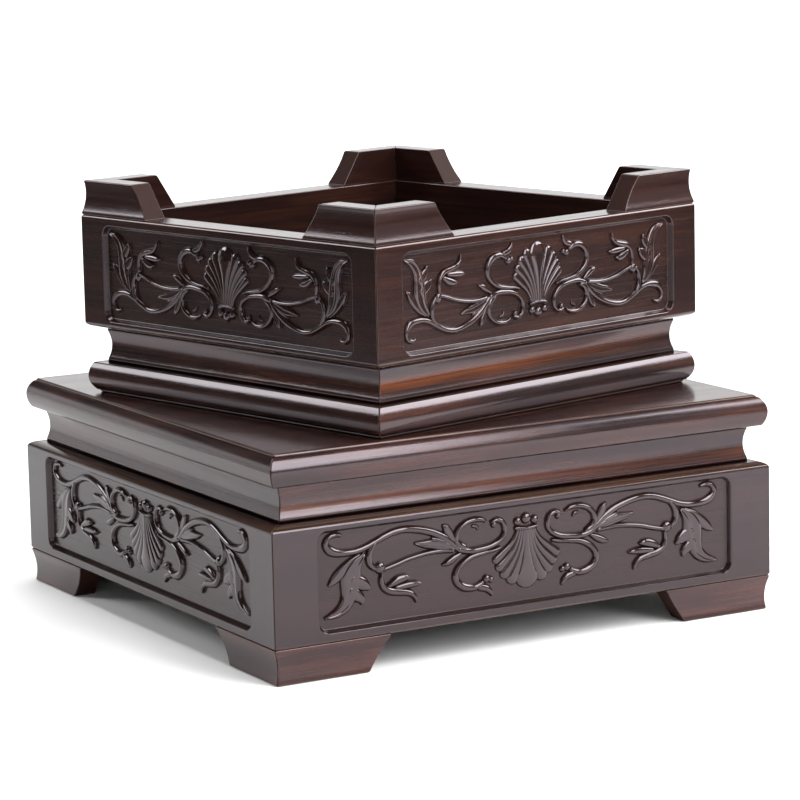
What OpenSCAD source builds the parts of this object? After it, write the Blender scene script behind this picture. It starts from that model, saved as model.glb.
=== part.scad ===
// Pair of square hardwood display stands with carved aprons.
// The larger stands on its feet. The smaller lies upside down on its top, feet up, turned a little.
// Both share one profile: coved bracket feet, a sunk-field apron, a hollowed waist,
// a half-round top frame and a lay-in panel. All mouldings meet on mitres.
// Sections are drawn as (distance in from the apron's face, height) and run along the front side.

/* [Stands] */
// Width of the lower stand across its aprons
lower_w = 200; // [170:1:260]
// Width of the upper stand across its aprons
upper_w = 157.5; // [130:0.5:190]
// Turn of the upper stand on the lower one, in degrees
upper_turn = 13.6; // [0:0.1:45]
// Sideways shift of the upper stand's centre
upper_x = 0.8; // [-10:0.1:10]
// Front to back shift of the upper stand's centre
upper_y = -2.5; // [-10:0.1:10]

/* [Heights] */
// Height of the feet
foot_h = 12.4; // [9:0.1:30]
// Height of the aprons
apron_h = 41.4; // [34:0.1:70]
// Height of the waist
waist_h = 12.3; // [8:0.1:24]
// Height of the half-round top frame
rail_h = 10.5; // [9:0.1:14]
// Height that the panel stands above the top frame
panel_proud = 1.2; // [0.4:0.1:2.5]

/* [Top frame and panel] */
// Set-back of the half-round nose behind the apron's face
rail_in = 0.3; // [0:0.1:1.5]
// Width of a top rail from its nose to its inner edge
rail_w = 24; // [22:0.5:36]
// Set-back of the panel's rebate behind the apron's face
panel_in = 3; // [2:0.1:4.5]
// Thickness of the panel
panel_t = 6; // [4.5:0.1:7.5]
// Room for the panel to swell in its rebate, each side
panel_gap = 0.2; // [0.1:0.05:0.6]
// Round on the panel's upper edge
panel_round = 0.7; // [0.3:0.1:1]

/* [Waist] */
// Set-back of the waist behind the apron's face
waist_in = 5.7; // [4.8:0.1:7]
// Thickness of a waist strip
waist_t = 9; // [7:0.1:12]
// Depth of the hollow in the waist
waist_cove = 1.1; // [0.4:0.1:1.4]
// Flat left above and below the hollow
waist_flat = 0.6; // [0.3:0.1:1.5]

/* [Aprons] */
// Thickness of an apron board
apron_t = 12; // [11:0.1:16]
// Round on the apron's upper outer edge
apron_round = 4; // [1:0.1:4.5]
// Margin at each end of the lower stand's sunk field
lower_field_end = 16.8; // [13:0.1:30]
// Margin at each end of the upper stand's sunk field
upper_field_end = 12; // [11.5:0.1:30]
// Margin above and below the sunk field
field_edge = 3.2; // [2.5:0.1:8]
// Depth of the sunk field
field_d = 2; // [0.8:0.1:3]
// Slope of the field's walls, measured in plan
field_slope = 1; // [0.4:0.1:2]
// Corner radius of the sunk field
field_corner = 4; // [2.5:0.1:8]

/* [Feet] */
// Length of a wing of the lower stand's feet, at the apron
lower_foot_l = 44.5; // [36:0.1:70]
// Length of a wing of the upper stand's feet, at the apron
upper_foot_l = 37; // [34:0.1:60]
// Amount that a wing shortens from the apron to the sole
foot_slant = 8.4; // [2:0.1:12]
// Depth of a foot's inner face behind the apron's face
foot_t = 9.5; // [8.5:0.1:10.8]
// Set-back of the foot's lip under the apron
foot_lip_in = 0.2; // [0.1:0.1:1]
// Depth of the foot's hollowed face behind its lip
foot_cove = 1.2; // [0.4:0.1:1.6]
// Height of the hollow's deepest line above the sole
foot_deep = 4.5; // [3:0.1:6]
// Flat left above the foot's hollow
foot_flat = 0.8; // [0.3:0.1:1.5]

/* [Joinery] */
// Glue line at every mitre
mitre_gap = 0.12; // [0.05:0.01:0.3]
// Room around tongues, keys, splines and tenons
fit_gap = 0.1; // [0.05:0.01:0.2]
// Room past the end of a pin in its bore
pin_room = 0.3; // [0.1:0.05:0.6]
// Set-back of the waist's tongues behind its face
tongue_set = 1.5; // [1.2:0.1:2]
// Thickness of the waist's tongues
tongue_t = 2.5; // [1.5:0.1:2.8]
// Height of the waist's tongues
tongue_h = 2.5; // [1.5:0.1:3]
// Thickness of the splines across the top frame's mitres
spline_t = 2; // [1:0.1:2.5]
// Length of a spline across its mitre
spline_l = 10; // [6:0.1:11]
// Width of a spline along its mitre
spline_w = 6; // [4:0.1:6.5]
// Thickness of the keys across the aprons' mitres
key_t = 2.5; // [1.5:0.1:3]
// Length of a key across its mitre
key_l = 9; // [6:0.1:10]
// Height of a key
key_h = 24; // [12:0.5:28]
// Leg of the three-cornered glue blocks
block_leg = 16; // [10:0.5:24]
// Height of the glue blocks
block_h = 20; // [10:0.5:30]
// Width of the cross batten
batten_w = 18; // [16:0.5:30]
// Height of the cross batten below the panel
batten_h = 8; // [6:0.1:12]
// Width of the batten's dovetail at its neck
dovetail_w = 11; // [8:0.1:12]
// Flare of the dovetail, each side
dovetail_flare = 1.4; // [0.6:0.1:1.8]
// Height of the dovetail
dovetail_h = 2.4; // [1.5:0.1:3]
// Width of the batten's tenons
tenon_w = 12; // [8:0.1:14]
// Thickness of the batten's tenons
tenon_t = 3; // [2:0.1:3.4]
// Length of the batten's tenons
tenon_l = 6; // [4:0.1:8]
// Diameter of the pins that hold the feet
pin_d = 4; // [3:0.1:4.5]
// Length of a foot pin
pin_l = 14; // [10:0.1:20]
// Depth of a pin in its foot
pin_foot = 6; // [4:0.1:8]
// Distance of the first pin from the corner
pin_corner = 14; // [12:0.1:15]
// Distance of the second pin from the wing's end at the apron
pin_end = 13; // [10:0.1:14]

/* [Hidden] */
$fn = 64;
// Cutters run this far past the faces that they open
over = 1;

// Heights at which the layers start, from the floor up
apron_z = foot_h;
waist_z = apron_z + apron_h;
rail_z = waist_z + waist_h;
stand_h = rail_z + rail_h + panel_proud;
panel_z = stand_h - panel_t;

// Places across the section, in from the apron's face
tongue_in = waist_in + tongue_set;
rail_inner = rail_in + rail_w;
spline_in = (tongue_in + tongue_t + rail_inner) / 2;
key_in = apron_t / 2 + key_t / 5;
pin_in = (foot_lip_in + foot_cove + foot_t) / 2;

// Upper end of the foot's hollow
foot_brow = foot_h - foot_flat;

// Middle height of what is left of a rail under its rebate
rail_web_z = (rail_z + panel_z) / 2;

SIDES = ["front", "right", "back", "left"];
CORNERS = ["front_left", "front_right", "back_right", "back_left"];
STANDS = ["lower", "upper"];
// The two ends of a side, seen from outside: left, then right
ENDS = [0, 1];

function width(stand) = stand == "lower" ? lower_w : upper_w;
function foot_length(stand) = stand == "lower" ? lower_foot_l : upper_foot_l;
function field_end(stand) = stand == "lower" ? lower_field_end : upper_field_end;
function wing_name(stand, side, end) =
    str(stand, "_foot_", CORNERS[(side + end) % 4], "_", SIDES[side], "_wing");
function on_sides(stand, piece) = [for (side = SIDES) str(stand, "_", piece, "_", side)];
function on_corners(stand, piece) = [for (corner = CORNERS) str(stand, "_", piece, "_", corner)];

BLACKWOOD = [0.13, 0.09, 0.085];
BROWN_BLACKWOOD = [0.22, 0.12, 0.10];
INNER_WOOD = [0.45, 0.33, 0.22];
BAMBOO = [0.76, 0.62, 0.38];

// Puts a front-side piece on its side of its stand. A stand is symmetric,
// so laying the upper one upside down is a mirror in height.
module place(stand, side) {
    if (stand == "lower")
        rotate([0, 0, 90 * side]) children();
    else
        translate([upper_x, upper_y, 2 * stand_h])
            rotate([0, 0, upper_turn + 90 * side]) mirror([0, 0, 1]) children();
}

// Space of one side between the two mitre planes, half a glue line short of each
module mitre_wedge(w) {
    translate([0, -mitre_gap / sqrt(2), -over])
        linear_extrude(stand_h + 2 * over)
            polygon([[0, 0], [-w, -w], [w, -w]]);
}

// Carries a section along the front side and cuts its ends on the mitres
module run(w) {
    intersection() {
        translate([-w / 2, -w / 2, 0])
            rotate([90, 0, 90])
                linear_extrude(w) children();
        mitre_wedge(w);
    }
}

// Tongue section, grown by a clearance for its groove
module tongue(z, gap = 0) {
    translate([tongue_in - gap, z - tongue_h - gap])
        square([tongue_t + 2 * gap, 2 * (tongue_h + gap)]);
}

// Circle that hollows an upright face at set-back a, between heights z0 and z1
module cove(a, z0, z1, depth) {
    chord = z1 - z0;
    r = (chord * chord / 4 + depth * depth) / (2 * depth);
    translate([a + depth - r, (z0 + z1) / 2]) circle(r, $fn = 180);
}

// Section of a board whose upper outer edge is rounded
module eased_board(t, h, r) {
    translate([r, 0]) square([t - r, h]);
    square([t, h - r]);
    translate([r, h - r]) circle(r);
}

// Flat plate across the mitre at a corner, centred at set-back a from both faces
module corner_plate(w, side, a, z, size, gap = 0) {
    rotate([0, 0, 90 * side])
        translate([a - w / 2, a - w / 2, z])
            rotate([0, 0, 45])
                cube([size[0] + 2 * gap, size[1] + 2 * gap, size[2] + 2 * gap], center = true);
}

module spline(w, side, gap = 0) {
    corner_plate(w, side, spline_in, rail_web_z, [spline_w, spline_l, spline_t], gap);
}

module key(w, side, gap = 0) {
    corner_plate(w, side, key_in, apron_z + apron_h / 2, [key_t, key_l, key_h], gap);
}

// Two pins of the front side's left wing, grown by clearances for their bores
module wing_pins(w, foot_l, gap = 0, room = 0) {
    for (x = [pin_corner, foot_l - pin_end])
        translate([x - w / 2, pin_in - w / 2, apron_z - pin_foot - room])
            cylinder(d = pin_d + 2 * gap, h = pin_l + 2 * room);
}

// Dovetail section about the batten's middle, grown by a clearance for its groove
module dovetail(gap = 0) {
    neck = dovetail_w / 2 + gap;
    head = neck + dovetail_flare;
    polygon([[-neck, -gap], [neck, -gap], [head, dovetail_h + gap], [-head, dovetail_h + gap]]);
}

// Tenons of the batten, grown by a clearance for their mortises
module tenons(w, gap = 0) {
    l = w - 2 * rail_inner + 2 * (tenon_l + gap);
    translate([0, 0, rail_web_z])
        cube([l, tenon_w + 2 * gap, tenon_t + 2 * gap], center = true);
}

// Lay-in panel with rounded upper edges and a dovetail groove across its underside
module top_panel(w) {
    size = w - 2 * (panel_in + panel_gap);
    color(BLACKWOOD)
        difference() {
            intersection() {
                panel_slice(size);
                rotate([0, 0, 90]) panel_slice(size);
            }
            translate([-w / 2, 0, panel_z])
                rotate([90, 0, 90])
                    linear_extrude(w) dovetail(fit_gap);
        }
}

// Panel with its front and back upper edges rounded
module panel_slice(size) {
    translate([-size / 2, -size / 2, panel_z])
        rotate([90, 0, 90])
            linear_extrude(size)
                intersection() {
                    eased_board(size, panel_t, panel_round);
                    translate([size, 0]) mirror([1, 0]) eased_board(size, panel_t, panel_round);
                }
}

// Batten under the panel: dovetail along its top, stub tenons in the side rails
module cross_batten(w) {
    l = w - 2 * rail_inner;
    color(INNER_WOOD)
        union() {
            translate([-l / 2, -batten_w / 2, panel_z - batten_h])
                cube([l, batten_w, batten_h]);
            translate([-l / 2, 0, panel_z])
                rotate([90, 0, 90])
                    linear_extrude(l) dovetail();
            tenons(w);
        }
}

// Half-round rail with a rebate for the panel and a groove for the waist's tongue.
// The two side rails also have a mortise for the batten.
module top_rail(w, has_mortise) {
    r = rail_h / 2;
    color(BLACKWOOD)
        difference() {
            run(w)
                difference() {
                    union() {
                        translate([rail_in + r, rail_z + r]) circle(r);
                        translate([rail_in + r, rail_z]) square([rail_w - r, rail_h]);
                    }
                    translate([panel_in, panel_z]) square([rail_w, panel_t]);
                    tongue(rail_z, fit_gap);
                }
            for (end = ENDS) spline(w, end, fit_gap);
            if (has_mortise) rotate([0, 0, 90]) tenons(w, fit_gap);
        }
}

// Hollowed strip between apron and top frame, tongued into both
module waist(w) {
    color(BLACKWOOD)
        run(w) {
            difference() {
                translate([waist_in, waist_z]) square([waist_t, waist_h]);
                cove(waist_in, waist_z + waist_flat, rail_z - waist_flat, waist_cove);
            }
            tongue(waist_z);
            tongue(rail_z);
        }
}

// Sunk field on an apron's face, with sloping walls and rounded corners
module field(w, margin) {
    half_l = w / 2 - margin - field_corner;
    half_h = apron_h / 2 - field_edge - field_corner;
    grow = over * field_slope / field_d;
    hull()
        for (x = [-half_l, half_l], z = [-half_h, half_h])
            translate([x, -w / 2 - over, apron_z + apron_h / 2 + z])
                rotate([-90, 0, 0])
                    cylinder(h = field_d + over, r1 = field_corner + grow,
                        r2 = field_corner - field_slope, $fn = 32);
}

// Apron board: rounded upper edge, groove for the waist, sunk field, key slots and pin bores
module apron(w, foot_l, margin) {
    color(BLACKWOOD)
        difference() {
            run(w)
                difference() {
                    translate([0, apron_z]) eased_board(apron_t, apron_h, apron_round);
                    tongue(waist_z, fit_gap);
                }
            field(w, margin);
            for (end = ENDS) key(w, end, fit_gap);
            for (end = ENDS) mirror([end, 0, 0]) wing_pins(w, foot_l, fit_gap, pin_room);
        }
}

// One wing of a bracket foot: hollowed face, mitred corner, slanted inner end
module foot_wing(w, foot_l, end) {
    color(BROWN_BLACKWOOD)
        mirror([end, 0, 0])
            difference() {
                intersection() {
                    run(w)
                        difference() {
                            translate([foot_lip_in, 0]) square([foot_t - foot_lip_in, foot_h]);
                            cove(foot_lip_in, 2 * foot_deep - foot_brow, foot_brow, foot_cove);
                        }
                    translate([-w / 2, foot_t + over - w / 2, 0])
                        rotate([90, 0, 0])
                            linear_extrude(foot_t + 2 * over)
                                polygon([[0, -over], [foot_l - foot_slant, -over], [foot_l - foot_slant, 0],
                                    [foot_l, foot_h], [foot_l, foot_h + over], [0, foot_h + over]]);
                }
                wing_pins(w, foot_l, fit_gap, pin_room);
            }
}

// Three-cornered block glued into the front left corner, under the waist
module glue_block(w) {
    color(INNER_WOOD)
        translate([apron_t - w / 2, apron_t - w / 2, waist_z - block_h])
            linear_extrude(block_h)
                polygon([[0, 0], [block_leg, 0], [0, block_leg]]);
}

module rail_splines(w) {
    color(INNER_WOOD)
        for (side = [0 : 3]) spline(w, side);
}

module apron_keys(w) {
    color(INNER_WOOD)
        for (side = [0 : 3]) key(w, side);
}

module foot_pins(w, foot_l) {
    color(BAMBOO)
        for (side = [0 : 3], end = ENDS)
            rotate([0, 0, 90 * side]) mirror([end, 0, 0]) wing_pins(w, foot_l);
}

for (stand = STANDS) {
    w = width(stand);
    foot_l = foot_length(stand);
    place(stand, 0) top_panel(w);
    place(stand, 0) cross_batten(w);
    place(stand, 0) rail_splines(w);
    place(stand, 0) apron_keys(w);
    place(stand, 0) foot_pins(w, foot_l);
    for (side = [0 : 3]) {
        name = SIDES[side];
        place(stand, side) top_rail(w, side % 2 == 1);
        place(stand, side) waist(w);
        place(stand, side) apron(w, foot_l, field_end(stand));
        place(stand, side) glue_block(w);
        for (end = ENDS)
            place(stand, side) foot_wing(w, foot_l, end);
    }
}
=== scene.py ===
"""Dresses a stacked pair of carved blackwood stands: a large one on its feet, a small one upside down on it.

The frame gives the places and the main sizes. Each side of a stand is drawn in local axes, in mm:
x along the side seen from outside, back in from the apron's face, z up from the floor of an upright stand.
"""

import logging
import math
from collections.abc import Callable
from dataclasses import dataclass, replace
from enum import Enum

import bpy
import numpy as np
from mathutils import Matrix, Vector


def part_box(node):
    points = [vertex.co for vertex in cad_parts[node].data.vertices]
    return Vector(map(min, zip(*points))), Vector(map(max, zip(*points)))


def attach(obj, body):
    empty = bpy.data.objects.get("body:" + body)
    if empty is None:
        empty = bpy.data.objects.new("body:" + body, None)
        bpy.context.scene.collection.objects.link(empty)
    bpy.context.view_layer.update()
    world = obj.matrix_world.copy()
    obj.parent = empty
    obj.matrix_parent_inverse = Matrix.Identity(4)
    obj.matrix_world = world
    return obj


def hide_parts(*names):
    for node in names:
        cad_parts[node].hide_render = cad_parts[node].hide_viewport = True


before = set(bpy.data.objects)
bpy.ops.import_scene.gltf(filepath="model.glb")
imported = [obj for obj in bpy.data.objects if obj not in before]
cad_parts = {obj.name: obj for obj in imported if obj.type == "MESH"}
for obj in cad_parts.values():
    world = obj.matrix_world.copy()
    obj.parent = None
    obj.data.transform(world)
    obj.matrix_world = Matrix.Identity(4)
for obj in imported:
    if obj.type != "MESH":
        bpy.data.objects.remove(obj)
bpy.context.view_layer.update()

log = logging.getLogger("stands")
Array = np.ndarray
EndRule = Callable[[Array, Array], Array]

MM = 0.001
TINY = 1e-9
CORNERS = ("front_left", "front_right", "back_right", "back_left")
NO_ROWS = np.empty(0)
# Directions on a section, in degrees from the back direction
UP, OUT, DOWN = 90, 180, 270
# Points on the arcs of a section or plan
NOSE_POINTS = (7, 11, 12)
BROW_POINTS = 12
COVE_POINTS = 15
FOOT_POINTS = 23
EDGE_POINTS = (4, 8)
PLAN_POINTS = 5
EASE_POINTS = 5
FINE_EASE_POINTS = 8
# Rows that round a board's end, and grid lines across the middle of a sunk field
END_ROWS = 5
FIELD_LINES = 8
# Steps in mm that give each piece a grain of its own
GRAIN_STEP = np.array([173.0, 31.0, 47.0])


class Side(Enum):
    """The sides of a stand, by the quarter turns that carry the front to each."""

    FRONT = 0
    RIGHT = 1
    BACK = 2
    LEFT = 3

    @property
    def label(self) -> str:
        """The side's name as the nodes write it."""
        return self.name.lower()


class End(Enum):
    """The two ends of a side, seen from outside."""

    LEFT = 0
    RIGHT = 1


class Finish(Enum):
    """The finishes of the outer pieces."""

    BLACKWOOD = "blackwood"
    RED_BLACKWOOD = "blackwood_brown"


def linear(hex_colour: str) -> tuple[float, float, float, float]:
    """Turns an sRGB hex colour into linear RGBA.

    Args:
        hex_colour: six hex digits after a hash.

    Returns:
        Linear red, green and blue with an alpha of 1.
    """
    srgb = np.array([int(hex_colour[i:i + 2], 16) for i in (1, 3, 5)]) / 255
    rgb = np.where(srgb <= 0.04045, srgb / 12.92, ((srgb + 0.055) / 1.055) ** 2.4)
    return (*map(float, rgb), 1.0)


def smooth_max(a: Array, b: Array, blend: float) -> Array:
    """Larger of two heights, with their meeting rounded over a band.

    Formula: b + (a - b) h + k h (1 - h), where h = 1/2 + (a - b) / 2k held within 0 and 1.

    Args:
        a: first heights.
        b: second heights.
        blend: width k of the rounded band.

    Returns:
        The blended heights.
    """
    h = np.clip(0.5 + 0.5 * (a - b) / blend, 0, 1)
    return b + (a - b) * h + blend * h * (1 - h)


def arc(centre: tuple[float, float], radius: float, start: float, stop: float, count: int) -> Array:
    """Points of a section along a circle, in degrees from the back direction.

    Args:
        centre: set-back and height of the circle's centre.
        radius: radius in mm.
        start: first angle.
        stop: last angle.
        count: number of points.

    Returns:
        Rows of set-back, height and a corner radius of zero.
    """
    angle = np.radians(np.linspace(start, stop, count))
    return np.stack([centre[0] + radius * np.cos(angle), centre[1] + radius * np.sin(angle), 0 * angle], 1)


def cove(face: float, low: float, high: float, depth: float, count: int = COVE_POINTS) -> Array:
    """Points of a hollow in an upright face, from its lower to its upper edge.

    Formula: a circle through both edges and the deepest point, radius (chord^2 / 4 + depth^2) / 2 depth.

    Args:
        face: set-back of the face.
        low: height of the lower edge.
        high: height of the upper edge.
        depth: greatest depth.
        count: number of points.

    Returns:
        Rows of set-back, height and a corner radius of zero.
    """
    radius = ((high - low) ** 2 / 4 + depth**2) / (2 * depth)
    half = math.degrees(math.asin((high - low) / 2 / radius))
    return arc((face + depth - radius, (low + high) / 2), radius, -half, half, count)


@dataclass(frozen=True)
class Section:
    """Closed section of a board: up its front, over its top, down its back. Its edge mask is 1 on eased
    arrises, which are painted paler: partly wear from handling, partly a painted highlight.
    """

    back: Array
    height: Array
    worn: Array

    @classmethod
    def eased(cls, corners: Array, steps: int = EASE_POINTS) -> "Section":
        """Rounds the corners of a polygon.

        Formula: each corner of radius r becomes the arc that is tangent to both its sides at the
        distance r / tan(angle / 2); a corner of radius zero stays one point.

        Args:
            corners: rows of set-back, height and radius.
            steps: points on each arc.

        Returns:
            The rounded section.
        """
        point, radius = corners[:, :2], corners[:, 2:]
        before, after = np.roll(point, 1, 0) - point, np.roll(point, -1, 0) - point
        before /= np.linalg.norm(before, axis=1, keepdims=True)
        after /= np.linalg.norm(after, axis=1, keepdims=True)
        half = np.arccos(np.clip((before * after).sum(1, keepdims=True), -1, 1)) / 2
        middle = before + after
        middle /= np.maximum(np.linalg.norm(middle, axis=1, keepdims=True), TINY)
        centre = point + middle * radius / np.sin(half)
        first = point + before * radius / np.tan(half) - centre
        last = point + after * radius / np.tan(half) - centre
        start = np.arctan2(first[:, 1], first[:, 0])
        turn = np.arctan2(last[:, 1], last[:, 0]) - start
        turn = (turn + np.pi) % (2 * np.pi) - np.pi
        angle = start[:, None] + turn[:, None] * np.linspace(0, 1, steps)
        ring = centre[:, None] + radius[:, None] * np.stack([np.cos(angle), np.sin(angle)], 2)
        kept = (radius > 0) | (np.arange(steps) == 0)
        # Arcs are marked to be painted paler: wear from handling, and a painted highlight on the arris
        worn = (radius > 0) * np.sin(np.linspace(0, np.pi, steps))
        return cls(ring[kept][:, 0], ring[kept][:, 1], worn[kept])

    def inward(self) -> tuple[Array, Array]:
        """Unit normals that point into the wood, at right angles to the chord between neighbours.

        Returns:
            Their parts along the set-back and the height.
        """
        along = np.roll(self.back, -1) - np.roll(self.back, 1)
        rise = np.roll(self.height, -1) - np.roll(self.height, 1)
        length = np.hypot(along, rise)
        return rise / length, -along / length


@dataclass
class Board:
    """Grid of a section carried along a side: rows follow the side, columns go round the section.

    The edge mask is 1 where the wood is painted paler: wear from handling, and a painted highlight on the
    arrises. dull is 1 where the polish is lost, and below 0 where handling has polished it brighter.
    """

    x: Array
    back: Array
    z: Array
    worn: Array
    dull: Array

    @classmethod
    def carry(cls, section: Section, left: EndRule, right: EndRule, between: Array, ease: float) -> "Board":
        """Carries a section from one end surface to the other and rounds the arris at both.

        Formula: a row at share t lies at x = (1 - t) left + t right. The last rows step in from each
        end by ease (1 - cos a) while the section shrinks by ease (1 - sin a), for a from 0 to 90 degrees.

        Args:
            section: what is carried.
            left: gives x of the left end for set-backs and heights.
            right: gives x of the right end.
            between: shares t of the rows between the eased ends.
            ease: radius of the end arrises.

        Returns:
            The grid of the board.
        """
        angle = np.linspace(0, np.pi / 2, END_ROWS)
        share = np.concatenate([0 * angle, between, 0 * angle + 1])[:, None]
        still = np.zeros(len(between))
        shrink = np.concatenate([1 - np.sin(angle), still, 1 - np.sin(angle[::-1])])[:, None] * ease
        step = np.concatenate([1 - np.cos(angle), still, np.cos(angle[::-1]) - 1])[:, None] * ease
        normal_back, normal_z = section.inward()
        back = section.back + shrink * normal_back
        z = section.height + shrink * normal_z
        x = (1 - share) * left(back, z) + share * right(back, z) + step
        # The eased ends are marked paler too: wear, and a painted highlight on the mitre arris
        rubbed = np.concatenate([np.sin(2 * angle), still, np.sin(2 * angle)])[:, None]
        end_grain = 0 * x
        end_grain[[0, -1]] = 1
        return cls(x, back, z, np.maximum(section.worn, rubbed), end_grain)

    def faces(self) -> tuple[Array, list[Array]]:
        """Faces of the grid, by its points' numbers.

        Returns:
            Quads between neighbouring rows and columns, and the outline of each end.
        """
        rows, columns = self.x.shape
        index = np.arange(rows * columns).reshape(rows, columns)
        beside = np.roll(index, -1, 1)
        quads = np.stack([index[:-1], index[1:], beside[1:], beside[:-1]], 2).reshape(-1, 4)
        return quads, [index[0], index[-1][::-1]]

    def mirrored(self) -> "Board":
        """The board mirrored about the middle of its side, its rows turned round so that it faces out."""
        return Board(-self.x[::-1], self.back[::-1], self.z[::-1], self.worn[::-1], self.dull[::-1])


@dataclass(frozen=True)
class Placement:
    """Where a stand lies: its turn, the middle of its plan in mm, and its top if it is upside down."""

    turn: float
    middle: tuple[float, float]
    top: float | None

    def put(self, points: Array, side: Side) -> Array:
        """Carries points of a front side to their side and place, in metres.

        Args:
            points: rows of x, y and z in mm about the middle of an upright stand.
            side: side that the piece belongs to.

        Returns:
            Rows of frame coordinates.
        """
        angle = self.turn + side.value * math.pi / 2
        spin = np.array([[math.cos(angle), math.sin(angle)], [-math.sin(angle), math.cos(angle)]])
        plan = points[:, :2] @ spin + self.middle
        z = points[:, 2] if self.top is None else self.top - points[:, 2]
        return np.column_stack([plan, z]) * MM


@dataclass(frozen=True)
class Stroke:
    """One cut of the ornament: a ribbon with rounded ends, in mm.

    points are (across, z, half width) on its line, and a single point is a round knob. relief is its
    height, square the exponent of its section (2 is half an ellipse, more is a flatter top with tighter
    shoulders), and hollow sinks its middle over the share hollow_reach of its width. It is lower where its
    half width is near slender. A skirt of ground lies beside it, a hair above the rest, where the polishing
    cloth doesn't reach.
    """

    points: tuple[tuple[float, float, float], ...]
    relief: float = 1.4
    square: float = 2.0
    hollow: float = 0.0
    hollow_reach: float = 0.6
    slender: float = 0.35
    skirt: float = 0.28
    lift: float = 0.03
    knob_half: float = 0.01
    curve_points: int = 24
    fewest_rows: int = 4
    columns: int = 15
    skirt_columns: int = 2
    end_bends: tuple[float, ...] = (8.0, 28.0, 49.0, 70.0)

    def line(self, spacing: float) -> Array:
        """Even points along a Catmull-Rom curve through the stroke's own points.

        Formula: between p1 and p2, with m1 = (p2 - p0) / 2 and m2 = (p3 - p1) / 2, the cubic Hermite
        (2t^3 - 3t^2 + 1) p1 + (t^3 - 2t^2 + t) m1 + (3t^2 - 2t^3) p2 + (t^3 - t^2) m2.

        Args:
            spacing: distance between points in mm.

        Returns:
            Rows of across, z and half width.
        """
        point = np.array(self.points)
        if len(point) == 1:
            return point + np.array([[-self.knob_half, 0, 0], [self.knob_half, 0, 0]])
        ends = np.vstack([2 * point[0] - point[1], point, 2 * point[-1] - point[-2]])
        t = np.linspace(0, 1, self.curve_points)[:, None]
        p1, p2 = ends[1:-2, None], ends[2:-1, None]
        m1, m2 = (p2 - ends[:-3, None]) / 2, (ends[3:, None] - p1) / 2
        curve = (2 * t**3 - 3 * t**2 + 1) * p1 + (t**3 - 2 * t**2 + t) * m1
        curve = (curve + (3 * t**2 - 2 * t**3) * p2 + (t**3 - t**2) * m2).reshape(-1, 3)
        along = np.concatenate([[0], np.cumsum(np.hypot(*np.diff(curve[:, :2], axis=0).T))])
        even = np.linspace(0, along[-1], max(self.fewest_rows, int(along[-1] / spacing)))
        return np.stack([np.interp(even, along, column) for column in curve.T], 1)

    def ribbon(self, spacing: float, sunk: float, fuller: float) -> Array:
        """Grid of the ribbon: rows along the line, columns over its section.

        Formula: at angle a from one side to the other the section is w sgn(cos a) |cos a|^(2/n) across and
        H |sin a|^(2/n) high, n being square, less a hollow that is H hollow (1 - (u / hollow_reach)^2)^2 at
        the share u of the half width. Narrow places are lower, by 1 - exp(-w / slender). Each end is rounded
        by rows at w cos b beyond it, whose width shrinks as sin b, for each b of end_bends.

        Args:
            spacing: distance between rows in mm.
            sunk: how far the ribbon's sides go into the ground.
            fuller: factor on the stroke's half widths.

        Returns:
            Across, z and height, as an array of three grids.
        """
        line = self.line(spacing)
        tangent = np.gradient(line[:, :2], axis=0)
        tangent /= np.linalg.norm(tangent, axis=1, keepdims=True)
        bend, still = np.radians(self.end_bends), np.zeros(len(line))
        row = np.concatenate([0 * bend, np.arange(len(line)), 0 * bend + len(line) - 1]).astype(int)
        reach = np.concatenate([-np.cos(bend), still, np.cos(bend[::-1])])
        grow = np.concatenate([np.sin(bend), still + 1, np.sin(bend[::-1])])
        half, along = line[row, 2] * fuller, tangent[row]
        middle = line[row, :2] + along * (half * reach)[:, None]
        angle = np.linspace(np.pi, 0, self.columns)
        share = np.sign(np.cos(angle)) * np.abs(np.cos(angle)) ** (2 / self.square)
        crown = np.abs(np.sin(angle)) ** (2 / self.square)
        crown = crown - self.hollow * np.clip(1 - (share / self.hollow_reach) ** 2, 0, 1) ** 2
        rise = self.relief * (1 - np.exp(-half / self.slender)) * grow ** (2 / self.square)
        share, crown = np.pad(share, self.skirt_columns, mode="edge"), np.pad(crown, self.skirt_columns)
        beside = np.sign(share) * np.pad(0 * angle, self.skirt_columns, constant_values=self.skirt)
        height = rise[:, None] * crown + self.lift
        height[:, [0, -1]] = -sunk
        wide = (half * grow)[:, None] * share + beside
        return np.stack([middle[:, :1] - along[:, 1:] * wide, middle[:, 1:] + along[:, :1] * wide, height])


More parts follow.
